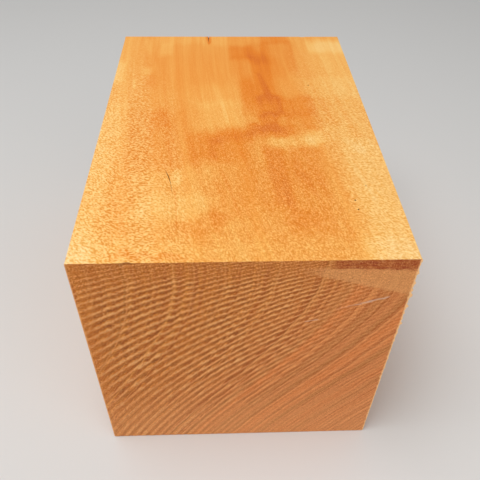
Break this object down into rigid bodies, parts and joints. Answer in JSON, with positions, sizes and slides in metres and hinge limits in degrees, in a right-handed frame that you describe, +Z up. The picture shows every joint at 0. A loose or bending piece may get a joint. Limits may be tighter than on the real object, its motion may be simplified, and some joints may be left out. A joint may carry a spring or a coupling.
{
  "type": "spindle turning blank",
  "caption": "Square hardwood blank for spindle turning, planed on its long faces, with both ends left as cut by a circular saw.",
  "frame": {"origin": "centre of the face that the blank rests on", "axes": "+Y along the grain, away from the front end; +X towards the side where the saw left the cut on the front end; +Z up"},
  "size_m": [0.1046, 0.152, 0.1024],
  "materials": {
    "planed_hardwood": "planed and waxed on the long faces, sawn on the ends"
  },
  "bodies": {
    "root": {"turning_blank": "planed_hardwood"}
  },
  "joints": []
}
